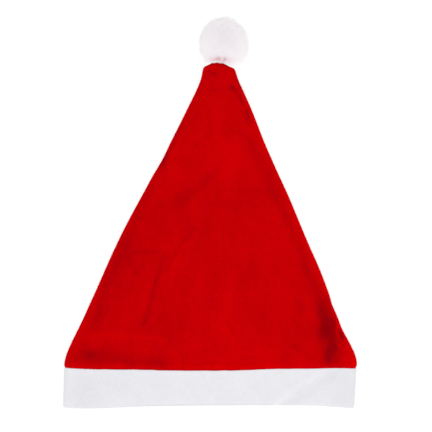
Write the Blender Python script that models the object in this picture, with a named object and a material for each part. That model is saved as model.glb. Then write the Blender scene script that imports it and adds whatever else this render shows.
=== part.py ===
"""A santa hat lying on its back, as its pieces are cut and sewn.

Two red velour panels meet at both sides in turned-in seam allowances. Their lower edges are caught
between the two layers of a folded white felt band, and their closed tip seats on a white pompom.

Metres. +X is the hat's right side seen from above, +Y runs from the mouth to the pompom, +Z is up.
The origin is on the surface that the hat lies on, under the middle of its outline.
"""

import math
import random
from collections import namedtuple

import bmesh
import bpy
from mathutils import Vector

# Outline of the hat, laid flat
SEAM_WIDTH = 0.2915
CROWN_LENGTH = 0.3040
BAND_HEIGHT = 0.0415
TIP_WIDTH = 0.0300
TIP_SHIFT = 0.0086
RIM_TAPER = 0.0008
RIM_SHIFT = -0.0016

# How far the front stands off the surface
CROWN_LOFT = 0.0230
SEAM_LOFT = 0.0205
RIM_LOFT = 0.0150
TIP_THICKNESS = 0.0084
TIP_LIFT = 0.0140

# How squarely the front stands off: 2 is a round arch, and more is flatter in the middle
PUFF_POWER = 2.6

# Cloth, seams and hem
VELOUR = 0.0014
FELT = 0.0012
SIDE_FOLD = 0.0060
SEAM_ALLOWANCE = 0.0070
HEM_DEPTH = 0.0080
CLEARANCE = 0.0003
SIDE_EASE = 1.35
FOLD_SLACK = 0.0005

# Rounding of the felt's edges and its fold
CORNER_ROUND = 0.0009
MID_BAND = 0.62

# Curve of the band's lower edge
RIM_RISE = 0.0033
FRONT_SETBACK = 0.0024

# Pompom
POMPOM_DIAMETER = 0.0510
LOCK_LENGTH = 0.0035
POMPOM_SHIFT = 0.0130
POMPOM_HEIGHT = 0.0235
SEAT_FLAT = 0.0028
LOCK_SEED = 24
SHORTEST_LOCK = 0.70
LOCK_LEAN = 0.16
CORE_SUBDIVISIONS = 3
# Locks this near to the end of the crown are kept short
TIP_BERTH = 0.0110

# Points closer than this are one.
MERGE = 1e-7

# Colours, linear
VELOUR_RED = (0.54, 0.002, 0.003)
FELT_WHITE = (0.79, 0.78, 0.81)
PLUSH_WHITE = (0.86, 0.83, 0.85)

# Faces across the width, and lengthwise rows
MIDDLE_COLUMNS = 15
ROLL_COLUMNS = 3
FOOT_COLUMNS = ROLL_COLUMNS + 2
CROWN_ROWS = 22
# How much closer together the rows are near the band than near the tip
ROW_CROWDING = 0.45
# Where the cloth is narrow, the roll and the seam allowance take up these shares of its half width.
NARROWEST_ROLL = 0.3
NARROWEST_FOOT = 0.6

# Seam line, rim and tip along Y, so that the outline is centred on the origin
POMPOM_RADIUS = POMPOM_DIAMETER / 2
CORE_RADIUS = POMPOM_RADIUS - LOCK_LENGTH
SEAT_REACH = CORE_RADIUS - SEAT_FLAT
TIP_TO_POMPOM = SEAT_REACH + CLEARANCE
HAT_LENGTH = BAND_HEIGHT + CROWN_LENGTH + TIP_TO_POMPOM + POMPOM_RADIUS
RIM_Y = -HAT_LENGTH / 2
SEAM_Y = RIM_Y + BAND_HEIGHT
TIP_Y = SEAM_Y + CROWN_LENGTH
POMPOM_Y = TIP_Y + TIP_TO_POMPOM

# The band is two layers of felt with the hem between them at the seam, and the two alone at the rim.
HEM_INSET = FELT + CLEARANCE
LINING_INSET = HEM_INSET + VELOUR + CLEARANCE
SEAM_STACK = LINING_INSET + FELT
RIM_STACK = 2 * FELT + CLEARANCE
SLOT_SHARE = (HEM_DEPTH + 2 * CLEARANCE) / BAND_HEIGHT
SEAM_FOLD = 2 * (SEAM_STACK + FOLD_SLACK)
RIM_FOLD = 2 * (RIM_STACK + FOLD_SLACK)

Section = namedtuple("Section", "up left_bow right_bow loft lift fold")
# up: share of CROWN_LENGTH above the seam. left_bow, right_bow: how far the side stands outside the
# straight line from seam to tip, as a share of SEAM_WIDTH. loft: share of the way from SEAM_LOFT at 0
# to CROWN_LOFT at 1. lift: share of TIP_LIFT. fold: share of the way from SEAM_FOLD to SIDE_FOLD.
SECTIONS = [
    Section(0.000, 0.0005, 0.0010, 0.00, 0.00, 0.00),
    Section(0.018, 0.0072, 0.0100, 0.12, 0.00, 0.10),
    Section(0.045, 0.0125, 0.0140, 0.35, 0.00, 0.45),
    Section(0.085, 0.0137, 0.0106, 0.75, 0.00, 0.90),
    Section(0.125, 0.0121, 0.0046, 1.00, 0.00, 1.00),
    Section(0.165, 0.0113, 0.0054, 1.06, 0.00, 1.00),
    Section(0.205, 0.0118, 0.0040, 1.06, 0.00, 1.00),
    Section(0.245, 0.0116, 0.0084, 1.02, 0.00, 1.00),
    Section(0.325, 0.0133, 0.0099, 0.86, 0.00, 1.00),
    Section(0.405, 0.0135, 0.0066, 0.60, 0.00, 1.00),
    Section(0.485, 0.0100, 0.0052, 0.25, 0.00, 1.00),
    Section(0.565, 0.0030, 0.0038, -0.15, 0.00, 1.00),
    Section(0.635, -0.0036, -0.0006, -0.55, 0.00, 1.00),
    Section(0.680, -0.0100, -0.0026, -0.78, 0.00, 1.00),
    Section(0.740, -0.0115, -0.0048, -1.05, 0.00, 1.00),
    Section(0.805, -0.0146, -0.0038, -1.35, 0.00, 1.00),
    Section(0.860, -0.0166, -0.0040, -1.45, 0.06, 1.00),
    Section(0.905, -0.0185, -0.0066, -1.20, 0.30, 1.02),
    Section(0.945, -0.0166, -0.0090, -0.60, 0.66, 1.06),
    Section(0.975, -0.0084, -0.0053, 0.10, 0.90, 1.10),
    Section(1.000, 0.0000, 0.0000, 0.75, 1.00, 1.12),
]

# Share of CROWN_LENGTH at which the panel has its full form, clear of the band
FIRST_ROW = 0.012

HemRow = namedtuple("HemRow", "up depth wall")
# How the panel comes out from under the band. up: share of FELT above the seam. depth: share of
# HEM_INSET. wall: share of VELOUR, thicker where the panel bends.
HEM_ROWS = [
    HemRow(-0.25, 1.0, 1.0),
    HemRow(0.12, 0.7, 1.2),
    HemRow(1.00, 0.2, 1.5),
]

TipRow = namedtuple("TipRow", "back width")
# Rounded corners of the tip. back: share of TIP_THICKNESS before the very end. width: share of TIP_WIDTH.
TIP_ROWS = [
    TipRow(0.75, 1.00),
    TipRow(0.45, 0.92),
    TipRow(0.20, 0.80),
    TipRow(0.00, 0.56),
]

LockStep = namedtuple("LockStep", "reach taper")
# reach: share of the lock's length. taper: share of its width that is left.
LOCK_STEPS = [
    LockStep(0.60, 1.00),
    LockStep(0.40, 0.62),
]

RimPoint = namedtuple("RimPoint", "across rise")
# across: -1 at the left fold, 1 at the right. rise: share of RIM_RISE that the lower edge stands up by.
RIM_CURVE = [
    RimPoint(-1.00, 0.36),
    RimPoint(-0.88, 0.00),
    RimPoint(-0.72, 0.12),
    RimPoint(-0.50, 0.55),
    RimPoint(-0.20, 0.80),
    RimPoint(0.20, 0.95),
    RimPoint(0.50, 1.00),
    RimPoint(0.74, 0.86),
    RimPoint(0.90, 0.42),
    RimPoint(1.00, 0.18),
]

Fold = namedtuple("Fold", "across0 up0 across1 up1 width depth")
# Dents in the front, each along a line from one point to the other. width: share of SEAM_WIDTH.
# depth: share of CROWN_LOFT, and below 0 for a ridge.
FOLDS = [
    Fold(0.915, 0.21, 0.85, 0.05, 0.030, 0.22),
    Fold(0.965, 0.15, 0.92, 0.08, 0.018, -0.07),
    Fold(-0.28, 0.48, -0.52, 0.36, 0.018, 0.06),
    Fold(-0.52, 0.36, -0.52, 0.15, 0.018, 0.07),
    Fold(-0.90, 0.05, -0.35, 0.02, 0.030, 0.08),
    Fold(0.70, 0.93, 0.80, 0.88, 0.016, 0.07),
]

Tube = namedtuple("Tube", "left right floor top fold")


def curve_at(rows, key, value, place):
    """The named column of a table at a place between its rows, on a smooth curve through them."""
    keys = [getattr(row, key) for row in rows]
    values = [getattr(row, value) for row in rows]
    if place <= keys[0]:
        return values[0]
    if place >= keys[-1]:
        return values[-1]
    i = max(n for n in range(len(keys) - 1) if keys[n] <= place)

    def slope(n):
        before, after = max(n - 1, 0), min(n + 1, len(keys) - 1)
        return (values[after] - values[before]) / (keys[after] - keys[before])

    span = keys[i + 1] - keys[i]
    t = (place - keys[i]) / span
    rest = 1 - t
    return (
        values[i] * rest * rest * (1 + 2 * t)
        + values[i + 1] * t * t * (1 + 2 * rest)
        + slope(i) * span * t * rest * rest
        - slope(i + 1) * span * t * t * rest
    )


def crown_tube(up):
    """The flattened outer form of the crown at a share of its length above the seam."""
    half = (SEAM_WIDTH + (TIP_WIDTH - SEAM_WIDTH) * up) / 2
    middle = TIP_SHIFT * up
    lift = curve_at(SECTIONS, "up", "lift", up)
    floor = TIP_LIFT * lift
    top = SEAM_LOFT + (CROWN_LOFT - SEAM_LOFT) * curve_at(SECTIONS, "up", "loft", up)
    top += (TIP_LIFT + TIP_THICKNESS - top) * lift**2
    fold = SEAM_FOLD + (SIDE_FOLD - SEAM_FOLD) * curve_at(SECTIONS, "up", "fold", up)
    return Tube(
        left=middle - half - SEAM_WIDTH * curve_at(SECTIONS, "up", "left_bow", up),
        right=middle + half + SEAM_WIDTH * curve_at(SECTIONS, "up", "right_bow", up),
        floor=floor,
        top=top,
        fold=min(fold, top - floor),
    )


def band_tube(down):
    """The flattened outer form of the band, from the seam at 0 to the rim at 1."""
    seam = crown_tube(0)
    half = (SEAM_WIDTH - RIM_TAPER) / 2
    return Tube(
        left=seam.left + (RIM_SHIFT - half - seam.left) * down,
        right=seam.right + (RIM_SHIFT + half - seam.right) * down,
        floor=0.0,
        top=SEAM_LOFT + (RIM_LOFT - SEAM_LOFT) * down,
        fold=SEAM_FOLD + (RIM_FOLD - SEAM_FOLD) * down,
    )


def inset(tube, depth):
    """The same form seen further in by a number of layers, which bunch at the side folds."""
    return Tube(
        left=tube.left + SIDE_EASE * depth,
        right=tube.right - SIDE_EASE * depth,
        floor=tube.floor + depth,
        top=tube.top - depth,
        fold=tube.fold - 2 * depth,
    )


def columns(tube):
    """X places across a tube: close together at the rolled folds and the seam allowances, then even."""
    half = (tube.right - tube.left) / 2
    roll = min(tube.fold / 2, NARROWEST_ROLL * half)
    steps = [roll * (1 - math.cos(math.pi / 2 * n / ROLL_COLUMNS)) for n in range(ROLL_COLUMNS + 1)]
    foot = max(min(SEAM_ALLOWANCE, NARROWEST_FOOT * half), roll + VELOUR / 2)
    steps += [foot, foot + VELOUR / 2]
    gap = 2 * (half - steps[-1]) / (MIDDLE_COLUMNS + 1)
    middle = [tube.left + steps[-1] + gap * (n + 1) for n in range(MIDDLE_COLUMNS)]
    return [tube.left + s for s in steps] + middle + [tube.right - s for s in reversed(steps)]


def across_of(tube, x):
    return (2 * x - tube.left - tube.right) / (tube.right - tube.left)


def surface_z(tube, x, side, lip=0.0):
    """Height of the tube's skin at x. side is 1 for the front and -1 for the back. lip is how far the
    skin already stands off the fold's middle plane at the very edge."""
    middle = tube.floor + tube.fold / 2
    reach = min(x - tube.left, tube.right - x)
    radius = tube.fold / 2
    roll = 1.0
    if reach < radius:
        roll = math.sqrt(max(0.0, 1 - (1 - reach / radius) ** 2))
    stand = lip + (radius - lip) * roll
    if side < 0:
        return middle - stand
    puff = 1 - abs(across_of(tube, x)) ** PUFF_POWER
    return middle + stand + (tube.top - middle - radius) * puff


def fold_drop(x, y):
    """How far the front is dented at a point of the crown."""
    drop = 0.0
    for fold in FOLDS:
        ends = []
        for across, up in ((fold.across0, fold.up0), (fold.across1, fold.up1)):
            tube = crown_tube(up)
            half = (tube.right - tube.left) / 2
            ends.append(Vector(((tube.left + tube.right) / 2 + across * half, SEAM_Y + up * CROWN_LENGTH)))
        line = ends[1] - ends[0]
        point = Vector((x, y)) - ends[0]
        along = min(1.0, max(0.0, point.dot(line) / line.length_squared))
        away = (point - line * along).length / (fold.width * SEAM_WIDTH / 2)
        drop += fold.depth * CROWN_LOFT * math.exp(-away * away)
    return drop


Row = namedtuple("Row", "y tube depth wall foot filled")
# One line of a crown panel from side to side. depth: how far in it lies under other layers. foot: whether
# the seam allowances are turned in. filled: whether the cloth is gathered solid.


def crown_rows():
    seam = crown_tube(0)
    rows = [Row(SEAM_Y - HEM_DEPTH, band_tube(HEM_DEPTH / BAND_HEIGHT), HEM_INSET, VELOUR, False, False)]
    for hem in HEM_ROWS:
        up = hem.up * FELT
        tube = crown_tube(max(up, 0.0) / CROWN_LENGTH)
        rows.append(Row(SEAM_Y + up, tube, hem.depth * HEM_INSET, hem.wall * VELOUR, False, False))
    last = 1 - TIP_ROWS[0].back * TIP_THICKNESS / CROWN_LENGTH
    for n in range(CROWN_ROWS):
        share = n / CROWN_ROWS
        up = FIRST_ROW + (last - FIRST_ROW) * share * (1 - ROW_CROWDING + ROW_CROWDING * share)
        rows.append(Row(SEAM_Y + up * CROWN_LENGTH, crown_tube(up), 0.0, VELOUR, True, False))
    return rows + tip_rows()


def tip_rows():
    """The gathered end, narrowing to its rounded corners."""
    rows = []
    for back, width in TIP_ROWS:
        y = TIP_Y - back * TIP_THICKNESS
        tube = crown_tube((y - SEAM_Y) / CROWN_LENGTH)
        middle = (tube.left + tube.right) / 2
        half = width * TIP_WIDTH / 2
        tube = tube._replace(left=middle - half, right=middle + half)
        rows.append(Row(y, tube, 0.0, VELOUR, True, True))
    return rows


def panel_points(row, side):
    """The outer and the inner points of a crown panel along one row, from left to right."""
    lip = CLEARANCE / 2 + VELOUR / 2
    outer_tube = inset(row.tube, row.depth)
    outer = []
    for x in columns(outer_tube):
        z = surface_z(outer_tube, x, side, lip)
        if side > 0 and row.foot:
            z -= fold_drop(x, row.y)
        outer.append(Vector((x, row.y, z)))
    middle = row.tube.floor + row.tube.fold / 2 + side * CLEARANCE / 2
    if row.foot:
        inner = [Vector((p.x, p.y, p.z - side * row.wall)) for p in outer]
        for n in range(len(inner)):
            edge = min(n, len(inner) - 1 - n)
            if edge < FOOT_COLUMNS or row.filled:
                inner[n].z = middle
        return outer, inner
    inner_tube = inset(row.tube, row.depth + row.wall)
    inner = []
    for x in columns(inner_tube):
        inner.append(Vector((x, row.y, surface_z(inner_tube, x, side, CLEARANCE / 2))))
    return outer, inner


def loft(mesh, rows, closed_rows):
    """Draws a first row of points out through the others. closed_rows joins each row's end to its start."""
    verts = [mesh.verts.new(point) for point in rows[0]]
    edges = [mesh.edges.new(pair) for pair in zip(verts, verts[1:])]
    if closed_rows:
        edges.append(mesh.edges.new((verts[-1], verts[0])))
    for row in rows[1:]:
        drawn = set(bmesh.ops.extrude_edge_only(mesh, edges=edges)["geom"])
        verts = [next(e.other_vert(v) for e in v.link_edges if e.other_vert(v) in drawn) for v in verts]
        for vert, point in zip(verts, row):
            vert.co = point
        ends = set(verts)
        edges = [e for e in drawn if isinstance(e, bmesh.types.BMEdge) and ends.issuperset(e.verts)]


def finish(mesh, name, material):
    """Makes the bmesh a smooth object with its faces pointing out."""
    bmesh.ops.recalc_face_normals(mesh, faces=mesh.faces)
    data = bpy.data.meshes.new(name)
    mesh.to_mesh(data)
    mesh.free()
    data.materials.append(material)
    data.shade_smooth()
    data.set_sharp_from_angle(angle=math.radians(40))
    made = bpy.data.objects.new(name, data)
    bpy.context.scene.collection.objects.link(made)
    return made


def surface_material(name, colour, roughness):
    material = bpy.data.materials.new(name)
    material.use_nodes = True
    shader = material.node_tree.nodes["Principled BSDF"]
    shader.inputs["Base Color"].default_value = (*colour, 1.0)
    shader.inputs["Roughness"].default_value = roughness
    shader.inputs["Metallic"].default_value = 0.0
    material.diffuse_color = (*colour, 1.0)
    return material


def crown_panel(name, side, material):
    """One velour panel: an outer and an inner sheet over the same rows, joined round their edges."""
    mesh = bmesh.new()
    pairs = [panel_points(row, side) for row in crown_rows()]
    loft(mesh, [outer for outer, inner in pairs], closed_rows=False)
    loft(mesh, [inner for outer, inner in pairs], closed_rows=False)
    bmesh.ops.bridge_loops(mesh, edges=[e for e in mesh.edges if e.is_boundary])
    return finish(mesh, name, material)


def rim_rise(across, side):
    """How far the band's lower edge stands up at a place across the hat."""
    rise = RIM_RISE * curve_at(RIM_CURVE, "across", "rise", across)
    if side > 0:
        rise += FRONT_SETBACK * (1 - across * across)
    return rise


BandRing = namedtuple("BandRing", "down depth shift")
# One ring round the band. down: share of the way from seam to rim. depth: how far in from its outer face.
# shift: how far towards the tip from that place.


def band_ring(place):
    """Points round the band. Below the slot they follow the rim's curve."""
    tube = inset(band_tube(place.down), place.depth)
    xs = columns(tube)
    below_slot = max(0.0, place.down - SLOT_SHARE) / (1 - SLOT_SHARE)
    ring = []
    for side, places in ((1, xs), (-1, xs[-2:0:-1])):
        for x in places:
            y = SEAM_Y - BAND_HEIGHT * place.down + place.shift
            y += rim_rise(across_of(tube, x), side) * below_slot
            ring.append(Vector((x, y, surface_z(tube, x, side))))
    return ring


def felt_band(name, material):
    """The folded strip: outer layer, fold at the rim, inner layer, and the slot that takes the hem."""
    low = -CLEARANCE
    rounded = low - CORNER_ROUND
    profile = [
        BandRing(0.00, FELT / 2, low),
        BandRing(0.00, 0.00, rounded),
        BandRing(SLOT_SHARE, 0.00, 0.0),
        BandRing(MID_BAND, 0.00, 0.0),
        BandRing(1.00, 0.00, 1.6 * CORNER_ROUND),
        BandRing(1.00, 0.22 * RIM_STACK, 0.3 * CORNER_ROUND),
        BandRing(1.00, 0.50 * RIM_STACK, 0.0),
        BandRing(1.00, 0.78 * RIM_STACK, 0.3 * CORNER_ROUND),
        BandRing(1.00, RIM_STACK, 1.6 * CORNER_ROUND),
        BandRing(MID_BAND, RIM_STACK + (SEAM_STACK - RIM_STACK) * (1 - MID_BAND), 0.0),
        BandRing(SLOT_SHARE, SEAM_STACK, -FELT),
        BandRing(0.00, SEAM_STACK, rounded),
        BandRing(0.00, LINING_INSET, rounded),
        BandRing(SLOT_SHARE, LINING_INSET, 0.0),
        BandRing(SLOT_SHARE, FELT, 0.0),
        BandRing(0.00, FELT, low),
    ]
    mesh = bmesh.new()
    rings = [band_ring(place) for place in profile]
    loft(mesh, rings + rings[:1], closed_rows=True)
    bmesh.ops.remove_doubles(mesh, verts=mesh.verts, dist=MERGE)
    return finish(mesh, name, material)


def pompom(name, material):
    """A ball of tapered locks, one on each face of a round core that is flat where the tip seats."""
    dice = random.Random(LOCK_SEED)
    mesh = bmesh.new()
    bmesh.ops.create_icosphere(mesh, subdivisions=CORE_SUBDIVISIONS, radius=CORE_RADIUS)
    for vert in mesh.verts:
        vert.co.y = max(vert.co.y, -SEAT_REACH)
    for face in list(mesh.faces):
        middle = face.calc_center_median()
        out = middle.normalized()
        end = CORE_RADIUS + LOCK_LENGTH * dice.uniform(SHORTEST_LOCK, 1.0)
        length = end - middle.length
        if near_tip(out * end):
            room = SEAT_REACH + min(vert.co.y for vert in face.verts)
            length = min(length, room / (LOCK_LEAN - out.y))
        lean = Vector([dice.uniform(-1, 1) for _ in range(3)]) * LOCK_LEAN * length
        if length > LOCK_LENGTH / 4:
            grow_lock(mesh, face, out * length + lean)
    for vert in mesh.verts:
        vert.co.z = max(vert.co.z, -POMPOM_HEIGHT)
    made = finish(mesh, name, material)
    made.location = (POMPOM_SHIFT, POMPOM_Y, POMPOM_HEIGHT)
    return made


def near_tip(place):
    """Whether a lock ending here, measured from the pompom's centre, could touch the crown's end."""
    end = tip_rows()[-1].tube
    x = place.x + POMPOM_SHIFT
    z = place.z + POMPOM_HEIGHT
    beside = max(end.left - x, x - end.right, end.floor - z, z - end.top)
    return place.y < 0 and beside < TIP_BERTH


def grow_lock(mesh, face, reach):
    """Draws one face of the core out into a lock, in steps that narrow towards its end."""
    for step in LOCK_STEPS:
        face = bmesh.ops.extrude_discrete_faces(mesh, faces=[face])["faces"][0]
        middle = face.calc_center_median()
        for vert in face.verts:
            vert.co = middle + (vert.co - middle) * step.taper + reach * step.reach


def clear_scene():
    for old in list(bpy.data.objects):
        bpy.data.objects.remove(old, do_unlink=True)


def main():
    clear_scene()
    crown_panel("crown_front", 1, surface_material("front_velour", VELOUR_RED, 0.95))
    crown_panel("crown_back", -1, surface_material("back_velour", VELOUR_RED, 0.95))
    felt_band("band", surface_material("felt", FELT_WHITE, 0.95))
    pompom("pompom", surface_material("plush", PLUSH_WHITE, 1.0))


main()
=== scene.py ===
import math
import random
from bisect import bisect_right
from collections import namedtuple
from operator import attrgetter

import bmesh
import bpy
from mathutils import Matrix, Vector, noise


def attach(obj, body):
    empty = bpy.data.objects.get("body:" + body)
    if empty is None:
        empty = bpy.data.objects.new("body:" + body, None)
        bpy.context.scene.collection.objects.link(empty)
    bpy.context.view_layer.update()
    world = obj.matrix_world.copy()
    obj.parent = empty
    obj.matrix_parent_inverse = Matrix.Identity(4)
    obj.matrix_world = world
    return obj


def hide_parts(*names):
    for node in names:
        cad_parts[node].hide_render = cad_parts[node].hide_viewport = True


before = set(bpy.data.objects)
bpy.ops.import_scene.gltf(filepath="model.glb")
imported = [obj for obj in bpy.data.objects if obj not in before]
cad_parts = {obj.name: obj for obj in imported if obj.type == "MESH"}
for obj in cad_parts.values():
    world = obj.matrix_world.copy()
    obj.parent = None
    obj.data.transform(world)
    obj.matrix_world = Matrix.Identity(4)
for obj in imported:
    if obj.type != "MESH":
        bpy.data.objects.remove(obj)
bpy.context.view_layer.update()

# The hat's own sizes, in metres, as its solids have them
SEAM_WIDTH = 0.2915
CROWN_LENGTH = 0.3040
BAND_HEIGHT = 0.0415
TIP_WIDTH = 0.0300
TIP_SHIFT = 0.0086
RIM_TAPER = 0.0008
RIM_SHIFT = -0.0016
CROWN_LOFT = 0.0230
SEAM_LOFT = 0.0205
RIM_LOFT = 0.0150
TIP_THICKNESS = 0.0084
TIP_LIFT = 0.0140
PUFF_POWER = 2.6
VELOUR = 0.0014
FELT = 0.0012
SIDE_FOLD = 0.0060
HEM_DEPTH = 0.0080
CLEARANCE = 0.0003
SIDE_EASE = 1.35
FOLD_SLACK = 0.0005
RIM_RISE = 0.0033
FRONT_SETBACK = 0.0024
POMPOM_DIAMETER = 0.0510
LOCK_LENGTH = 0.0035
POMPOM_SHIFT = 0.0130
POMPOM_HEIGHT = 0.0235
SEAT_FLAT = 0.0028

SEAT_REACH = POMPOM_DIAMETER / 2 - LOCK_LENGTH - SEAT_FLAT
HAT_LENGTH = BAND_HEIGHT + CROWN_LENGTH + SEAT_REACH + CLEARANCE + POMPOM_DIAMETER / 2
RIM_Y = -HAT_LENGTH / 2
SEAM_Y = RIM_Y + BAND_HEIGHT
TIP_Y = SEAM_Y + CROWN_LENGTH
POMPOM_Y = TIP_Y + SEAT_REACH + CLEARANCE
POMPOM_AT = Vector((POMPOM_SHIFT, POMPOM_Y, POMPOM_HEIGHT))
HEM_INSET = FELT + CLEARANCE
LINING_INSET = HEM_INSET + VELOUR + CLEARANCE
SEAM_STACK = LINING_INSET + FELT
RIM_STACK = 2 * FELT + CLEARANCE
SLOT_SHARE = (HEM_DEPTH + 2 * CLEARANCE) / BAND_HEIGHT
SEAM_FOLD = 2 * (SEAM_STACK + FOLD_SLACK)
RIM_FOLD = 2 * (RIM_STACK + FOLD_SLACK)

Section = namedtuple("Section", "up left_bow right_bow loft lift fold")
# The crown's form along its length, in the same shares as its solids: up from the seam, how far each
# side stands outside the straight line to the tip, loft, lift off the surface, and side fold
SECTIONS = [
    Section(0.000, 0.0005, 0.0010, 0.00, 0.00, 0.00),
    Section(0.018, 0.0072, 0.0100, 0.12, 0.00, 0.10),
    Section(0.045, 0.0125, 0.0140, 0.35, 0.00, 0.45),
    Section(0.085, 0.0137, 0.0106, 0.75, 0.00, 0.90),
    Section(0.125, 0.0121, 0.0046, 1.00, 0.00, 1.00),
    Section(0.165, 0.0113, 0.0054, 1.06, 0.00, 1.00),
    Section(0.205, 0.0118, 0.0040, 1.06, 0.00, 1.00),
    Section(0.245, 0.0116, 0.0084, 1.02, 0.00, 1.00),
    Section(0.325, 0.0133, 0.0099, 0.86, 0.00, 1.00),
    Section(0.405, 0.0135, 0.0066, 0.60, 0.00, 1.00),
    Section(0.485, 0.0100, 0.0052, 0.25, 0.00, 1.00),
    Section(0.565, 0.0030, 0.0038, -0.15, 0.00, 1.00),
    Section(0.635, -0.0036, -0.0006, -0.55, 0.00, 1.00),
    Section(0.680, -0.0100, -0.0026, -0.78, 0.00, 1.00),
    Section(0.740, -0.0115, -0.0048, -1.05, 0.00, 1.00),
    Section(0.805, -0.0146, -0.0038, -1.35, 0.00, 1.00),
    Section(0.860, -0.0166, -0.0040, -1.45, 0.06, 1.00),
    Section(0.905, -0.0185, -0.0066, -1.20, 0.30, 1.02),
    Section(0.945, -0.0166, -0.0090, -0.60, 0.66, 1.06),
    Section(0.975, -0.0084, -0.0053, 0.10, 0.90, 1.10),
    Section(1.000, 0.0000, 0.0000, 0.75, 1.00, 1.12),
]

RimPoint = namedtuple("RimPoint", "across rise")
RIM_CURVE = [
    RimPoint(-1.00, 0.36),
    RimPoint(-0.88, 0.00),
    RimPoint(-0.72, 0.12),
    RimPoint(-0.50, 0.55),
    RimPoint(-0.20, 0.80),
    RimPoint(0.20, 0.95),
    RimPoint(0.50, 1.00),
    RimPoint(0.74, 0.86),
    RimPoint(0.90, 0.42),
    RimPoint(1.00, 0.18),
]

SEAM_SAG = 0.0022
SeamPoint = namedtuple("SeamPoint", "across sag")
# How far the front's seam line hangs below the straight line between the corners, in shares of SEAM_SAG
SEAM_CURVE = [
    SeamPoint(-1.00, 0.00),
    SeamPoint(-0.88, 0.45),
    SeamPoint(-0.70, 0.58),
    SeamPoint(-0.48, 0.62),
    SeamPoint(-0.30, 0.92),
    SeamPoint(0.00, 1.00),
    SeamPoint(0.20, 0.86),
    SeamPoint(0.42, 0.30),
    SeamPoint(0.70, 0.20),
    SeamPoint(0.90, 0.10),
    SeamPoint(1.00, 0.35),
]
# How far up the crown the seam line's sag is felt, in metres
SEAM_SPREAD = 0.030

TIP_DROP = 0.0030
TipPoint = namedtuple("TipPoint", "across drop")
# How far the crown's very end falls short of its tip, in shares of TIP_DROP
TIP_CURVE = [
    TipPoint(-1.00, 0.80),
    TipPoint(-0.70, 0.25),
    TipPoint(-0.35, 0.00),
    TipPoint(0.00, 0.00),
    TipPoint(0.35, 0.30),
    TipPoint(0.70, 0.95),
    TipPoint(1.00, 1.40),
]
TIP_SPREAD = 0.012

RIGHT_LINE = [(0.66, 0.735), (0.82, 0.638), (0.83, 0.549), (0.88, 0.441), (0.895, 0.309), (0.93, 0.23)]
LEFT_LINE = [(-0.96, 0.69), (-0.95, 0.52), (-0.90, 0.385), (-0.93, 0.296), (-0.91, 0.197), (-0.87, 0.13)]

Stroke = namedtuple("Stroke", "points width depth")
# Dents and creases in the front of the crown, each along a line through its points. A point is its place
# across, from -1 at the left side to 1 at the right, and its share of the crown's length above the seam.
# width is in metres, and depth is in metres, below 0 for a ridge.
FOLDS = [
    Stroke([(0.930, 0.215), (0.885, 0.140)], 0.0120, 0.0034),
    Stroke([(0.925, 0.145), (0.875, 0.075), (0.820, 0.030)], 0.0120, 0.0048),
    Stroke([(0.985, 0.150), (0.940, 0.110), (0.872, 0.052)], 0.0050, -0.0024),
    Stroke([(0.872, 0.052), (0.800, 0.012)], 0.0060, -0.0008),
    Stroke([(0.974, 0.120), (0.962, 0.096)], 0.0040, 0.0026),
    Stroke([(0.880, 0.045), (0.970, 0.030)], 0.0050, -0.0009),
    Stroke([(-0.28, 0.485), (-0.50, 0.372), (-0.51, 0.245), (-0.53, 0.145)], 0.0055, 0.0012),
    Stroke([(-0.84, 0.370), (-0.70, 0.310), (-0.66, 0.345)], 0.0042, 0.0008),
    Stroke([(-0.80, 0.378), (-0.38, 0.386)], 0.0042, 0.0008),
    Stroke([(-0.85, 0.112), (-0.37, 0.100), (-0.21, 0.015)], 0.0070, -0.0006),
    Stroke([(-0.88, 0.050), (-0.40, 0.018)], 0.0110, 0.0016),
    Stroke([(0.016, 0.1875), (0.164, 0.089)], 0.0060, -0.0005),
    Stroke([(0.120, 0.150), (0.230, 0.050)], 0.0070, 0.0005),
    Stroke([(-0.47, 0.550), (0.01, 0.640)], 0.0130, 0.0005),
    Stroke([(-0.69, 0.968), (-0.35, 0.930)], 0.0050, 0.0010),
    Stroke([(0.62, 0.915), (0.75, 0.885)], 0.0050, 0.0012),
    Stroke(RIGHT_LINE, 0.0120, 0.0005),
    Stroke(LEFT_LINE, 0.0100, 0.0005),
    Stroke([(0.30, 0.300), (0.48, 0.180)], 0.0200, 0.0005),
    Stroke([(-0.10, 0.420), (0.25, 0.330)], 0.0240, 0.0006),
]

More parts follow.
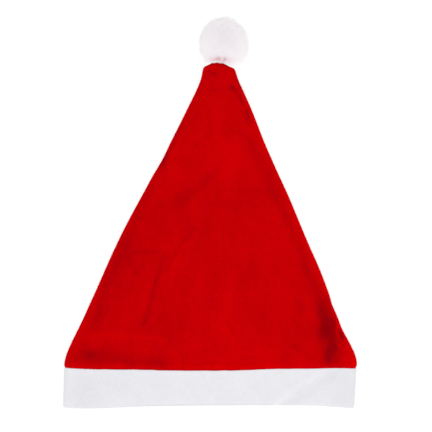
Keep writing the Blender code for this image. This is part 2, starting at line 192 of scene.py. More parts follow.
# Patches where the pile is brushed the wrong way and looks darker, with painted shade along the creases and
# dents that FOLDS also makes, and, below 0, painted highlights on the fold ridges, along both rolled sides
# and just above the seam
NAP_AND_PAINTED_LIGHT_MARKS = [
    Stroke([(0.915, 0.195), (0.875, 0.120)], 0.0130, 0.60),
    Stroke([(0.925, 0.140), (0.870, 0.075), (0.825, 0.030)], 0.0130, 0.66),
    Stroke([(0.860, 0.070), (0.830, 0.028)], 0.0130, 0.36),
    Stroke([(0.850, 0.120), (0.825, 0.075), (0.815, 0.050)], 0.0110, 0.34),
    Stroke([(0.870, 0.310), (0.880, 0.210)], 0.0120, 0.16),
    Stroke([(0.985, 0.150), (0.945, 0.110), (0.880, 0.052), (0.820, 0.015)], 0.0042, -0.50),
    Stroke([(0.974, 0.120), (0.962, 0.096)], 0.0040, 0.75),
    Stroke([(-0.86, 0.052), (-0.34, 0.012)], 0.0130, 0.28),
    Stroke([(-0.96, 0.030), (-0.80, 0.034)], 0.0130, 0.26),
    Stroke([(-0.85, 0.112), (-0.37, 0.100), (-0.21, 0.015)], 0.0060, -0.18),
    Stroke([(-0.22, 0.460), (-0.38, 0.372), (-0.40, 0.345)], 0.0034, 0.30),
    Stroke([(-0.49, 0.365), (-0.50, 0.250), (-0.505, 0.145)], 0.0044, 0.38),
    Stroke([(-0.46, 0.360), (-0.40, 0.335), (-0.45, 0.320)], 0.0060, 0.26),
    Stroke([(-0.84, 0.370), (-0.70, 0.310), (-0.66, 0.345)], 0.0024, 0.40),
    Stroke([(-0.80, 0.378), (-0.38, 0.386)], 0.0026, 0.20),
    Stroke([(0.016, 0.1875), (0.090, 0.150), (0.164, 0.089)], 0.0044, -0.20),
    Stroke([(0.050, 0.1875), (0.200, 0.089)], 0.0040, 0.14),
    Stroke([(-0.47, 0.550), (-0.30, 0.585)], 0.0110, 0.22),
    Stroke([(-0.18, 0.600), (0.01, 0.655)], 0.0080, 0.15),
    Stroke([(-0.69, 0.970), (-0.25, 0.962)], 0.0040, 0.50),
    Stroke([(-0.30, 0.905), (0.20, 0.912), (0.60, 0.918)], 0.0030, 0.20),
    Stroke([(0.55, 0.918), (0.72, 0.900), (0.80, 0.868)], 0.0034, 0.62),
    Stroke([(0.80, 0.838), (0.84, 0.800)], 0.0050, 0.45),
    Stroke([(0.20, 0.800), (0.45, 0.772), (0.66, 0.735)], 0.0050, 0.22),
    Stroke([(-0.50, 0.720), (-0.10, 0.775), (0.30, 0.768)], 0.0060, 0.14),
    Stroke(RIGHT_LINE, 0.0110, 0.24),
    Stroke([(-0.93, 0.800), (-0.93, 0.660)], 0.0050, 0.35),
    Stroke(LEFT_LINE, 0.0100, 0.26),
    Stroke([(0.30, 0.060), (0.62, 0.050)], 0.0060, -0.10),
    Stroke([(0.60, 0.070), (0.68, 0.030)], 0.0060, 0.24),
    Stroke([(0.10, 0.430), (0.20, 0.250)], 0.0500, 0.05),
    Stroke([(0.45, 0.330), (0.70, 0.200)], 0.0400, 0.12),
    Stroke([(-0.75, 0.260), (-0.78, 0.180)], 0.0240, 0.10),
    Stroke([(n / 10, 0.002) for n in range(-10, 11)], 0.0030, -0.26),
    Stroke([(0.995, n / 20) for n in range(0, 19)], 0.0050, -0.30),
    Stroke([(-0.995, n / 20) for n in range(0, 19)], 0.0030, -0.12),
]

# Painted shade on the felt and, below 0, painted highlights, along its slow dips and near its sides, where a
# point's second number is minus its share of the band's height
BAND_LIGHT_AND_SHADE_MARKS = [
    Stroke([(0.76, -0.12), (0.62, -0.45), (0.47, -0.84)], 0.0060, -0.55),
    Stroke([(0.84, -0.16), (0.70, -0.50), (0.54, -0.88)], 0.0100, 0.42),
    Stroke([(0.92, -0.15), (0.88, -0.90)], 0.0240, 0.30),
    Stroke([(-0.02, -0.90), (0.01, -0.72)], 0.0040, -0.35),
    Stroke([(-0.94, -0.10), (-0.96, -0.55)], 0.0080, -0.20),
    Stroke([(-0.86, -0.15), (-0.84, -0.90)], 0.0240, 0.42),
    Stroke([(-0.62, -0.20), (-0.50, -0.80)], 0.0300, 0.24),
    Stroke([(0.10, -0.15), (0.30, -0.20)], 0.0160, -0.16),
]

Tube = namedtuple("Tube", "left right floor top fold")


def curve_at(rows, key, value, place):
    """The named column of a table at a place between its rows, on a smooth curve through them."""
    last = len(rows) - 1
    i = bisect_right(rows, place, key=attrgetter(key)) - 1
    if i < 0 or i >= last:
        return getattr(rows[max(i, 0)], value)
    k = [getattr(rows[n], key) for n in (max(i - 1, 0), i, i + 1, min(i + 2, last))]
    v = [getattr(rows[n], value) for n in (max(i - 1, 0), i, i + 1, min(i + 2, last))]
    span = k[2] - k[1]
    t = (place - k[1]) / span
    rest = 1 - t
    return (
        v[1] * rest * rest * (1 + 2 * t)
        + v[2] * t * t * (1 + 2 * rest)
        + (v[2] - v[0]) / (k[2] - k[0]) * span * t * rest * rest
        - (v[3] - v[1]) / (k[3] - k[1]) * span * t * t * rest
    )


def crown_tube(up):
    """The flattened outer form of the crown at a share of its length above the seam."""
    half = (SEAM_WIDTH + (TIP_WIDTH - SEAM_WIDTH) * up) / 2
    middle = TIP_SHIFT * up
    lift = curve_at(SECTIONS, "up", "lift", up)
    floor = TIP_LIFT * lift
    top = SEAM_LOFT + (CROWN_LOFT - SEAM_LOFT) * curve_at(SECTIONS, "up", "loft", up)
    top += (TIP_LIFT + TIP_THICKNESS - top) * lift**2
    fold = SEAM_FOLD + (SIDE_FOLD - SEAM_FOLD) * curve_at(SECTIONS, "up", "fold", up)
    return Tube(
        left=middle - half - SEAM_WIDTH * curve_at(SECTIONS, "up", "left_bow", up),
        right=middle + half + SEAM_WIDTH * curve_at(SECTIONS, "up", "right_bow", up),
        floor=floor,
        top=top,
        fold=min(fold, top - floor),
    )


def band_tube(down):
    """The flattened outer form of the band, from the seam at 0 to the rim at 1."""
    seam = crown_tube(0)
    half = (SEAM_WIDTH - RIM_TAPER) / 2
    return Tube(
        left=seam.left + (RIM_SHIFT - half - seam.left) * down,
        right=seam.right + (RIM_SHIFT + half - seam.right) * down,
        floor=0.0,
        top=SEAM_LOFT + (RIM_LOFT - SEAM_LOFT) * down,
        fold=SEAM_FOLD + (RIM_FOLD - SEAM_FOLD) * down,
    )


def inset(tube, depth):
    """The same form seen further in by a number of layers, which bunch at the side folds."""
    return Tube(
        left=tube.left + SIDE_EASE * depth,
        right=tube.right - SIDE_EASE * depth,
        floor=tube.floor + depth,
        top=tube.top - depth,
        fold=tube.fold - 2 * depth,
    )


def across_of(tube, x):
    return (2 * x - tube.left - tube.right) / (tube.right - tube.left)


def surface_z(tube, x, side, lip=0.0):
    """Height of the tube's skin at x. side is 1 for the front and -1 for the back. lip is how far the
    skin already stands off the fold's middle plane at the very edge."""
    middle = tube.floor + tube.fold / 2
    reach = min(x - tube.left, tube.right - x)
    radius = tube.fold / 2
    roll = 1.0
    if reach < radius:
        roll = math.sqrt(max(0.0, 1 - (1 - reach / radius) ** 2))
    stand = lip + (radius - lip) * roll
    if side < 0:
        return middle - stand
    puff = 1 - abs(across_of(tube, x)) ** PUFF_POWER
    return middle + stand + (tube.top - middle - radius) * puff


def seam_sag(across):
    return SEAM_SAG * curve_at(SEAM_CURVE, "across", "sag", across)


def end_shift(across, y, side):
    """How far the front's seam line and the crown's tip bring a place of a panel back along Y."""
    shift = TIP_DROP * curve_at(TIP_CURVE, "across", "drop", across) * max(0.0, 1 - (TIP_Y - y) / TIP_SPREAD)
    if side > 0:
        shift += seam_sag(across) * min(1.0, max(0.0, 1 - (y - SEAM_Y - 0.003) / SEAM_SPREAD))
    return shift


def place_on_hat(across, up):
    """A place on the hat in metres. up is a share of the crown's length or, below 0, of the band's height."""
    tube = crown_tube(up) if up >= 0 else band_tube(-up)
    y = SEAM_Y + up * (CROWN_LENGTH if up >= 0 else BAND_HEIGHT)
    return Vector(((tube.left + tube.right) / 2 + across * (tube.right - tube.left) / 2, y))


def laid_strokes(strokes):
    """Each stroke's points in metres, with its width and depth."""
    return [s._replace(points=[place_on_hat(*point) for point in s.points]) for s in strokes]


def stroke_sum(laid, x, y):
    """How strongly the strokes together mark a place."""
    total = 0.0
    for stroke in laid:
        nearest = 1.0
        for start, end in zip(stroke.points, stroke.points[1:]):
            line = end - start
            point = Vector((x, y)) - start
            along = min(1.0, max(0.0, point.dot(line) / line.length_squared))
            nearest = min(nearest, (point - line * along).length)
        away = nearest / (stroke.width / 2)
        if away < 3:
            total += stroke.depth * math.exp(-away * away)
    return total


def wander(x, y, size, seed=0.0):
    """A slow unevenness between -1 and 1, with humps of about that size in metres."""
    return noise.noise(Vector((x / size, y / size, seed)))


class Value:
    """A number that varies over a surface, so that shader maths reads as an expression."""

    def __init__(self, finish, socket):
        self.finish = finish
        self.socket = socket

    def maths(self, operation, first, second, clamp=False):
        settings = {"operation": operation, "use_clamp": clamp}
        return self.finish.node("ShaderNodeMath", settings, {0: first, 1: second})

    def __add__(self, other):
        return self.maths("ADD", self, other)

    def __sub__(self, other):
        return self.maths("SUBTRACT", self, other)

    def __rsub__(self, other):
        return self.maths("SUBTRACT", other, self)

    def __mul__(self, other):
        return self.maths("MULTIPLY", self, other)

    __radd__ = __add__
    __rmul__ = __mul__

    def clamped(self):
        return self.maths("ADD", self, 0.0, clamp=True)


class Finish:
    """A material under one Principled shader."""

    def __init__(self, name, **sockets):
        self.material = bpy.data.materials.new(name)
        self.material.use_nodes = True
        self.tree = self.material.node_tree
        self.shader = self.tree.nodes["Principled BSDF"]
        for socket, value in sockets.items():
            self.set(socket.replace("_", " "), value)

    def set(self, socket, value):
        self.join(value, self.shader.inputs[socket])

    def join(self, value, socket):
        if isinstance(value, Value):
            self.tree.links.new(value.socket, socket)
        else:
            socket.default_value = value

    def node(self, kind, settings, sockets, output=0):
        made = self.tree.nodes.new(kind)
        for name, value in settings.items():
            setattr(made, name, value)
        for name, value in sockets.items():
            self.join(value, made.inputs[name])
        return Value(self, made.outputs[output])

    def place(self, stretch=(1, 1, 1), turn=0.0):
        place = self.node("ShaderNodeTexCoord", {}, {}, "Object")
        if stretch == (1, 1, 1) and not turn:
            return place
        sockets = {"Vector": place, "Scale": stretch, "Rotation": (0, 0, turn)}
        return self.node("ShaderNodeMapping", {}, sockets)

    def noise(self, place, scale, detail=3, roughness=0.5):
        sockets = {"Vector": place, "Scale": scale, "Detail": detail, "Roughness": roughness}
        return self.node("ShaderNodeTexNoise", {}, sockets)

    def mix(self, factor, first, second):
        return self.node("ShaderNodeMix", {"data_type": "RGBA"}, {0: factor, 6: first, 7: second}, 2)

    def attribute(self, name):
        return self.node("ShaderNodeAttribute", {"attribute_name": name}, {}, "Fac")

    def bump(self, height, distance, strength=1.0):
        sockets = {"Height": height, "Distance": distance, "Strength": strength}
        self.set("Normal", self.node("ShaderNodeBump", {}, sockets))


def velour_finish():
    """Short red pile: patches where it lies the other way, painted shade and highlights along its folds,
    ridges and edges, a fine grain and a pinkish edge sheen.
    """
    made = Finish(
        "velour",
        Roughness=1.0,
        Specular_IOR_Level=0.0,
        Sheen_Weight=0.25,
        Sheen_Roughness=0.35,
        Sheen_Tint=(1.0, 0.0, 0.05, 1),
    )
    place = made.place()
    broad = made.noise(place, 16, 2)
    brushed = made.noise(made.place((1, 0.35, 1), 0.5), 60, 4, 0.6)
    mottled = made.noise(place, 240, 3, 0.65)
    grain = made.noise(place, 900, 2, 0.7)
    tone = 0.56 + (broad - 0.5) * 0.45 + (brushed - 0.5) * 0.45 + (mottled - 0.5) * 0.40
    # The marks darken the red where the pile is brushed the wrong way and as painted shade in creases and
    # dents, and lighten it, below 0, as painted highlights on ridges and edges
    tone = tone + (grain - 0.5) * 0.25 - made.attribute("nap_and_painted_light") * 0.75
    made.set("Base Color", made.mix(tone.clamped(), (0.30, 0.0001, 0.0025, 1), (0.68, 0.0001, 0.0002, 1)))
    made.bump(grain * 0.6 + mottled * 0.8 + brushed * 0.8, 0.00035, 0.6)
    return made.material


def pile_glow_finish():
    """Single strands of the velour's pile, with a painted highlight: a brighter, pinker red and a glow that
    stand in for the sheen at the crown's edges and lift the shade along the seam.
    """
    return Finish(
        "velour_pile_glow",
        Base_Color=(0.70, 0.0005, 0.007, 1),
        Roughness=1.0,
        Specular_IOR_Level=0.0,
        # A glow that is painted light, for the edge sheen and the seam's shade
        Emission_Color=(1.0, 0.0, 0.05, 1),
        Emission_Strength=0.13,
    ).material


def wrong_side_finish():
    """The knitted inside of the velour: flat, duller and finely ribbed along its length."""
    made = Finish("velour_wrong_side", Roughness=1.0, Specular_IOR_Level=0.05)
    ribs = made.node(
        "ShaderNodeTexWave",
        {"wave_type": "BANDS", "bands_direction": "X"},
        {"Vector": made.place(), "Scale": 320, "Distortion": 1.5, "Detail": 2},
        "Fac",
    )
    grain = made.noise(made.place(), 600, 2)
    tone = (ribs * 0.5 + grain * 0.5).clamped()
    made.set("Base Color", made.mix(tone, (0.22, 0.004, 0.008, 1), (0.40, 0.010, 0.015, 1)))
    made.bump(ribs, 0.0002, 0.5)
    return made.material


def felt_finish():
    """White pressed felt: matted fibres, faint cloudiness and small pits, painted shade and highlights from
    its marks, and a faint glow that is painted light lifting its shade.
    """
    made = Finish(
        "felt",
        Roughness=1.0,
        Specular_IOR_Level=0.05,
        Sheen_Weight=0.15,
        Sheen_Roughness=0.6,
        # A glow that is painted light: it lifts the felt's shade
        Emission_Color=(0.96, 0.965, 1.0, 1),
        Emission_Strength=0.12,
    )
    place = made.place()
    cloudy = made.noise(place, 45, 3)
    matted = made.noise(made.place((1, 0.45, 1), 0.7), 420, 4, 0.7)
    crossed = made.noise(made.place((0.45, 1, 1), 0.5), 520, 3, 0.7)
    pits = made.noise(place, 260, 2)
    tone = 0.5 + (cloudy - 0.5) * 0.7 + (matted - 0.5) * 0.55 + (crossed - 0.5) * 0.45 + (pits - 0.5) * 0.5
    # Painted shade and highlights from the band's marks
    tone = tone - made.attribute("nap_and_painted_light") * 0.6
    made.set("Base Color", made.mix(tone.clamped(), (0.580, 0.582, 0.614, 1), (0.690, 0.682, 0.708, 1)))
    made.bump(matted * 0.5 + crossed * 0.5 + pits, 0.00030, 0.55)
    return made.material


def plush_finish(name, dark, light, painted_glow):
    """White plush fibre. Its emission strength, the last argument, is painted light: a glow that brightens
    the plush and stands for the light that soaks through the pile.
    """
    made = Finish(
        name,
        Roughness=1.0,
        Specular_IOR_Level=0.05,
        Sheen_Weight=0.2,
        Sheen_Roughness=0.5,
        # A glow that is painted light
        Emission_Color=(1.0, 0.965, 0.985, 1),
        Emission_Strength=painted_glow,
    )
    tufts = made.noise(made.place(), 220, 3)
    white = made.mix(tufts, dark, light)
    # Painted red reflection and shade from the crown, mixed into the white
    made.set("Base Color", made.mix(made.attribute("red_bounce_and_shade").clamped(), white, (0.42, 0.010, 0.045, 1)))
    made.bump(tufts, 0.0004, 0.4)
    return made.material


def make_object(name, mesh, material):
    """Turns a bmesh into a smooth piece of the hat that rides on its body."""
    data = bpy.data.meshes.new(name)
    mesh.to_mesh(data)
    mesh.free()
    data.materials.append(material)
    data.shade_smooth()
    made = bpy.data.objects.new(name, data)
    bpy.context.scene.collection.objects.link(made)
    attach(made, "root")
    return made


def add_modifier(piece, name, kind, **settings):
    modifier = piece.modifiers.new(name, kind)
    for setting, value in settings.items():
        setattr(modifier, setting, value)
    return modifier


def write_marks(piece, name, laid, drift=0.0018, sway=0.0, floor=-1.0):
    """Keeps on each point how far it is marked, along lines that wander and fade a little. sway is how far
    they also wander with height, and floor is where they have faded out towards the table."""
    values = []
    for vert in piece.data.vertices:
        x, y, z = vert.co
        strength = 1 + 0.6 * wander(x, y, 0.014, 11.0)
        strength *= min(1.0, max(0.0, (z - floor) / 0.012))
        x += drift * (wander(x, y, 0.012, 12.0) + 0.5 * wander(x, y, 0.005, 14.0))
        x += sway * wander(z, 0, 0.006, 15.0)
        y += drift * wander(x, y, 0.012, 13.0)
        values.append(stroke_sum(laid, x, y) * strength)
    piece.data.attributes.new(name, "FLOAT", "POINT").data.foreach_set("value", values)


RollPoint = namedtuple("RollPoint", "inward up")
# How a panel rolls round its side seam, in shares of the fold's half height, from the end of its seam
# allowance out to the place where it stands furthest out
ROLL = [
    RollPoint(2.30, 0.06),
    RollPoint(1.50, 0.06),
    RollPoint(0.80, 0.06),
    RollPoint(0.40, 0.10),
    RollPoint(0.15, 0.22),
    RollPoint(0.03, 0.38),
    RollPoint(0.00, 0.55),
]
ROLL_LIP = 0.55
# Where the rolled edge goes over into the panel, in the same shares
SHOULDER = [0.14, 0.40, 0.75, 1.15, 1.70, 2.50]
HEM_ROWS = 4
HEM_SHARE = 0.94
FIRST_ROW = 0.0005
ROW_CROWDING = 0.055
# How much of the felt's thickness the velour dips by where it comes out of the band, and how fast it rises
SEAM_DIP = 0.4
DIP_LENGTH = 0.0012
# The shares of the crown's length over which the dents fade out towards the seam and towards the tip
SMOOTH_AT_SEAM = 0.03
SMOOTH_AT_TIP = 0.12
# The shallow valley beside each side seam, in metres
SEAM_VALLEY = 0.0011
VALLEY_IN = 0.0085
VALLEY_WIDTH = 0.0055
# How far before its end the tip starts to close, and how much narrower it gets
TIP_ROUND = 0.0050
TIP_NARROWING = 0.44
# No dent takes the front lower than this above the crown's floor, where the back panel lies
LAYERS_UNDER = 0.0042
EDGE_HELD = 0.004


def panel_row_place(n, rows):
    """How far along Y one row of the panel lies."""
    if n < HEM_ROWS:
        return SEAM_Y - HEM_DEPTH + HEM_DEPTH * HEM_SHARE * n / (HEM_ROWS - 1)
    t = (n - HEM_ROWS) / (rows - HEM_ROWS)
    ease = t - ROW_CROWDING * math.sin(2 * math.pi * t)
    return SEAM_Y + FIRST_ROW + (TIP_Y - SEAM_Y - FIRST_ROW) * ease


def panel_line(y, side, columns):
    """The points of one row of a panel, from one seam allowance over the panel to the other."""
    if y < SEAM_Y:
        tube = inset(band_tube((SEAM_Y - y) / BAND_HEIGHT), HEM_INSET)
    else:
        up = (y - SEAM_Y) / CROWN_LENGTH
        tube = inset(crown_tube(up), HEM_INSET * SEAM_DIP * math.exp(-(y - SEAM_Y) / DIP_LENGTH))
    end = max(0.0, (y - (TIP_Y - TIP_ROUND)) / TIP_ROUND)
    close = math.sqrt(max(0.0, 1 - end**2.4))
    width = 1 - TIP_NARROWING * end**2.5
    middle_x = (tube.left + tube.right) / 2
    tube = tube._replace(
        left=middle_x + (tube.left - middle_x) * width,
        right=middle_x + (tube.right - middle_x) * width,
    )
    radius = tube.fold / 2
    half = (tube.right - tube.left) / 2
    middle_z = tube.floor + radius
    reach = [min(r * radius, 0.5 * half * r / SHOULDER[-1]) for r in SHOULDER]
    inner = reach[-1]
    gap = 2 * (half - inner) / (columns + 1)
    line = []
    for p in ROLL:
        inward = min(p.inward * radius, 0.7 * half)
        line.append((tube.left + inward, middle_z + side * p.up * radius * close))
    xs = [tube.left + r for r in reach]
    xs += [tube.left + inner + gap * (k + 1) for k in range(columns)]
    xs += [tube.right - r for r in reversed(reach)]
    for x in xs:
        z = surface_z(tube, x, side, ROLL_LIP * radius)
        line.append((x, middle_z + (z - middle_z) * close))
    for p in reversed(ROLL):
        inward = min(p.inward * radius, 0.7 * half)
        line.append((tube.right - inward, middle_z + side * p.up * radius * close))
    return [Vector((x, y - end_shift(across_of(tube, x), y, side), z)) for x, z in line], tube


def dress_front(point, tube):
    """The front's folds, the valley along each side seam and the cloth's slow unevenness."""
    x, y = point.x, point.y
    up = (y - SEAM_Y) / CROWN_LENGTH
    if up <= 0:
        return
    settle = min(1.0, up / SMOOTH_AT_SEAM)
    near = min(1.0, (1 - up) / SMOOTH_AT_TIP)
    reach = min(x - tube.left, tube.right - x)
    inside = min(1.0, max(0.0, reach / EDGE_HELD))
    away = (reach - VALLEY_IN) / VALLEY_WIDTH
    valley = SEAM_VALLEY * math.exp(-away * away) * (0.65 + 0.6 * wander(x, y, 0.030, 3.0))
    puckers = 0.00045 * math.exp(-reach / 0.012) * wander(0.0, y, 0.0055, 5.0 if x > 0 else 9.0)
    drop = stroke_sum(laid_folds, x, y) + valley * near - puckers * near
    drop = min(drop, max(0.0, point.z - tube.floor - LAYERS_UNDER))
    slow = 0.0011 * wander(x, y, 0.075, 1.0) + 0.0005 * wander(x, y, 0.030, 2.0)
    gathers = 0.0006 * math.cos(across_of(tube, x) * 13.0 + 0.6) * max(0.0, (up - 0.93) / 0.07) ** 1.5
    point.z += (slow * near - drop) * settle * inside + gathers * inside


def dress_back(point, tube):
    """The back lies flat, with gathers towards the tip that fade out at the seams."""
    up = (point.y - SEAM_Y) / CROWN_LENGTH
    reach = min(point.x - tube.left, tube.right - point.x)
    inside = min(1.0, max(0.0, reach / EDGE_HELD))
    lifted = max(0.0, (up - 0.90) / 0.10)
    point.z -= 0.0005 * math.cos(across_of(tube, point.x) * 11.0) * lifted**1.5 * inside


SETTLE_STEPS = 24
# No point moves further than this while the cloth settles
SETTLE_REACH = 0.0020
CLOTH_GROWTH = 0.006
PUFF = 0.25
TIP_HELD = 0.012


def settle_cloth(piece):
    """Lets a panel that is held all round its edge find its own small folds, by cloth simulation."""
    before = [vert.co.copy() for vert in piece.data.vertices]
    held = piece.vertex_groups.new(name="held")
    for n, place in enumerate(before):
        up = (place.y - SEAM_Y) / CROWN_LENGTH
        tube = crown_tube(up)
        reach = min(place.x - tube.left, tube.right - place.x, place.y - SEAM_Y, TIP_Y - TIP_HELD - place.y)
        held.add([n], min(1.0, max(0.0, 1 - (reach - 0.003) / EDGE_HELD)), "REPLACE")
    cloth = add_modifier(piece, "settle", "CLOTH")
    cloth.settings.vertex_group_mass = "held"
    cloth.settings.quality = 6
    cloth.settings.mass = 0.15
    cloth.settings.tension_stiffness = 15
    cloth.settings.compression_stiffness = 15
    cloth.settings.bending_stiffness = 0.06
    cloth.settings.shrink_min = -CLOTH_GROWTH
    cloth.settings.use_pressure = True
    cloth.settings.uniform_pressure_force = PUFF
    cloth.settings.effector_weights.gravity = 0
    for step in range(1, SETTLE_STEPS + 1):
        bpy.context.scene.frame_set(step)
    settled = piece.evaluated_get(bpy.context.evaluated_depsgraph_get()).data
    moves = [settled.vertices[n].co - place for n, place in enumerate(before)]
    piece.modifiers.remove(cloth)
    piece.vertex_groups.remove(held)
    bpy.context.scene.frame_set(1)
    for vert, place, move in zip(piece.data.vertices, before, moves):
        vert.co = place + move * SETTLE_REACH / max(SETTLE_REACH, move.length)
        vert.co.z = max(vert.co.z, min(place.z, LAYERS_UNDER))


def panel_cloth(name, side, dress, rows, columns, materials):
    """A flat grid of cloth laid over the hat's form, row by row, settled by cloth simulation if it is the
    front, and given its thickness.
    """
    lines = [panel_line(panel_row_place(n, rows), side, columns) for n in range(rows + 1)]
    count = len(lines[0][0])
    mesh = bmesh.new()
    bmesh.ops.create_grid(mesh, x_segments=count - 1, y_segments=rows, size=1.0)
    places = sorted(mesh.verts, key=lambda v: (round(v.co.y, 5), v.co.x))
    for n, vert in enumerate(places):
        line, tube = lines[n // count]
        point = line[n % count].copy()
        if len(ROLL) <= n % count < count - len(ROLL):
            dress(point, tube)
        vert.co = point
    if side < 0:
        bmesh.ops.reverse_faces(mesh, faces=mesh.faces)
    piece = make_object(name, mesh, materials[0])
    piece.data.materials.append(materials[1])
    if side > 0:
        settle_cloth(piece)
    add_modifier(
        piece,
        "cloth thickness",
        "SOLIDIFY",
        thickness=VELOUR * 0.85,
        offset=-1,
        material_offset=1,
        material_offset_rim=1,
        use_even_offset=False,
    )
    add_modifier(piece, "smooth", "SUBSURF", levels=1, render_levels=1)
    return piece


BandRing = namedtuple("BandRing", "down depth shift")
# How round the felt's cut and folded edges are, in metres
FELT_ROUND = 0.0009


def rim_rise(across, side):
    """How far the band's lower edge stands up at a place across the hat."""
    rise = RIM_RISE * curve_at(RIM_CURVE, "across", "rise", across)
    if side > 0:
        rise += FRONT_SETBACK * (1 - across * across)
    return rise


BAND_MIDDLE = 56
BAND_ROLL = 6
# Slow dips in the front of the band: place across, share down, direction across per share down, width
# and depth in metres
BandFold = namedtuple("BandFold", "across down lean width depth")
BAND_FOLDS = [
    BandFold(0.62, 0.40, -0.36, 0.012, -0.0007),
    BandFold(0.72, 0.40, -0.36, 0.016, 0.0009),
    BandFold(0.30, 0.60, -0.20, 0.022, 0.0004),
    BandFold(-0.35, 0.50, 0.25, 0.026, 0.0005),
    BandFold(-0.78, 0.50, -0.10, 0.014, 0.0004),
    BandFold(0.90, 0.55, -0.12, 0.010, 0.0004),
]


def band_columns(tube):
    half = (tube.right - tube.left) / 2
    roll = min(tube.fold / 2, 0.3 * half)
    steps = [roll * (1 - math.cos(math.pi / 2 * n / BAND_ROLL)) for n in range(BAND_ROLL + 1)]
    steps.append(roll * 1.6)
    gap = 2 * (half - steps[-1]) / (BAND_MIDDLE + 1)
    middle = [tube.left + steps[-1] + gap * (n + 1) for n in range(BAND_MIDDLE)]
    return [tube.left + s for s in steps] + middle + [tube.right - s for s in reversed(steps)]


def band_ring(place):
    """Points round the band at one place of its folded section."""
    tube = inset(band_tube(place.down), place.depth)
    xs = band_columns(tube)
    below_slot = max(0.0, place.down - SLOT_SHARE) / (1 - SLOT_SHARE)
    ring = []
    for side, places in ((1, xs), (-1, xs[-2:0:-1])):
        for x in places:
            across = across_of(tube, x)
            y = SEAM_Y - BAND_HEIGHT * place.down + place.shift
            y += rim_rise(across, side) * below_slot
            z = surface_z(tube, x, side)
            edge = min(1.0, (1 - abs(across)) / 0.04)
            if side > 0:
                y -= seam_sag(across) * (1 - place.down)
            y += 0.00035 * wander(x, 0, 0.012, 4.0 + side) * below_slot
            y += 0.0004 * wander(x, 0, 0.009, 8.0 + side) * max(0.0, 1 - place.down * 8)
            if side > 0:
                for fold in BAND_FOLDS:
                    centre = fold.across + fold.lean * (place.down - fold.down)
                    away = (across - centre) * (tube.right - tube.left) / 2 / fold.width
                    z -= fold.depth * math.exp(-away * away) * edge * min(1.0, place.down * 4)
                z += 0.0005 * wander(x, y, 0.040, 7.0) * edge * min(1.0, place.down * 4)
            ring.append(Vector((x, y, z)))
    return ring


def felt_band(name, material):
    """The folded felt strip, drawn out ring by ring round its section."""
    rounded = -CLEARANCE - FELT_ROUND

    def lining(down):
        """Depth of the inner layer's hidden side, which lies against the outer layer at the rim."""
        return FELT + CLEARANCE + (LINING_INSET - FELT - CLEARANCE) * min(1.0, (1 - down) / (1 - SLOT_SHARE))

    going_down = (0.33, 0.46, 0.59, 0.72, 0.84, 0.93)
    going_up = going_down[::-1]
    profile = [
        BandRing(0.00, FELT * 0.55, -CLEARANCE * 0.6),
        BandRing(0.00, FELT * 0.18, -CLEARANCE * 1.2),
        BandRing(0.00, 0.00, rounded),
        BandRing(0.10, 0.00, 0.0),
        BandRing(SLOT_SHARE, 0.00, 0.0),
        *[BandRing(down, 0.00, 0.0) for down in going_down],
        BandRing(1.00, 0.00, 1.7 * FELT_ROUND),
        BandRing(1.00, 0.10 * RIM_STACK, 0.7 * FELT_ROUND),
        BandRing(1.00, 0.28 * RIM_STACK, 0.15 * FELT_ROUND),
        BandRing(1.00, 0.50 * RIM_STACK, 0.0),
        BandRing(1.00, 0.72 * RIM_STACK, 0.15 * FELT_ROUND),
        BandRing(1.00, 0.90 * RIM_STACK, 0.7 * FELT_ROUND),
        BandRing(1.00, RIM_STACK, 1.7 * FELT_ROUND),
        *[BandRing(down, lining(down) + FELT, 0.0) for down in going_up],
        BandRing(SLOT_SHARE, SEAM_STACK, 0.0),
        BandRing(0.10, SEAM_STACK, 0.0),
        BandRing(0.00, SEAM_STACK, rounded),
        BandRing(0.00, LINING_INSET + FELT / 2, -CLEARANCE - FELT_ROUND / 3),
        BandRing(0.00, LINING_INSET, rounded),
        BandRing(0.10, LINING_INSET, 0.0),
        BandRing(SLOT_SHARE, LINING_INSET, 0.0),
        *[BandRing(down, lining(down), 0.0) for down in going_down],
        BandRing(1.00, FELT + CLEARANCE, FELT + FELT_ROUND),
        BandRing(1.00, FELT + CLEARANCE / 2, FELT),
        BandRing(1.00, FELT, FELT + FELT_ROUND),
        *[BandRing(down, FELT, 0.0) for down in going_up],
        BandRing(SLOT_SHARE, FELT, 0.0),
        BandRing(0.10, FELT, 0.0),
        BandRing(0.00, FELT, rounded),
        BandRing(0.00, FELT * 0.85, -CLEARANCE),
    ]
    rings = [band_ring(place) for place in profile]
    mesh = bmesh.new()
    verts = [mesh.verts.new(point) for point in rings[0]]
    edges = [mesh.edges.new((verts[n - 1], verts[n])) for n in range(len(verts))]
    for ring in rings[1:] + rings[:1]:
        drawn = set(bmesh.ops.extrude_edge_only(mesh, edges=edges)["geom"])
        verts = [next(e.other_vert(v) for e in v.link_edges if e.other_vert(v) in drawn) for v in verts]
        for vert, point in zip(verts, ring):
            vert.co = point
        ends = set(verts)
        edges = [e for e in drawn if isinstance(e, bmesh.types.BMEdge) and ends.issuperset(e.verts)]
    bmesh.ops.remove_doubles(mesh, verts=mesh.verts, dist=1e-7)
    bmesh.ops.recalc_face_normals(mesh, faces=mesh.faces)
    piece = make_object(name, mesh, material)
    add_modifier(piece, "smooth", "SUBSURF", levels=1, render_levels=1)
    return piece


PompomPoint = namedtuple("PompomPoint", "turn reach")
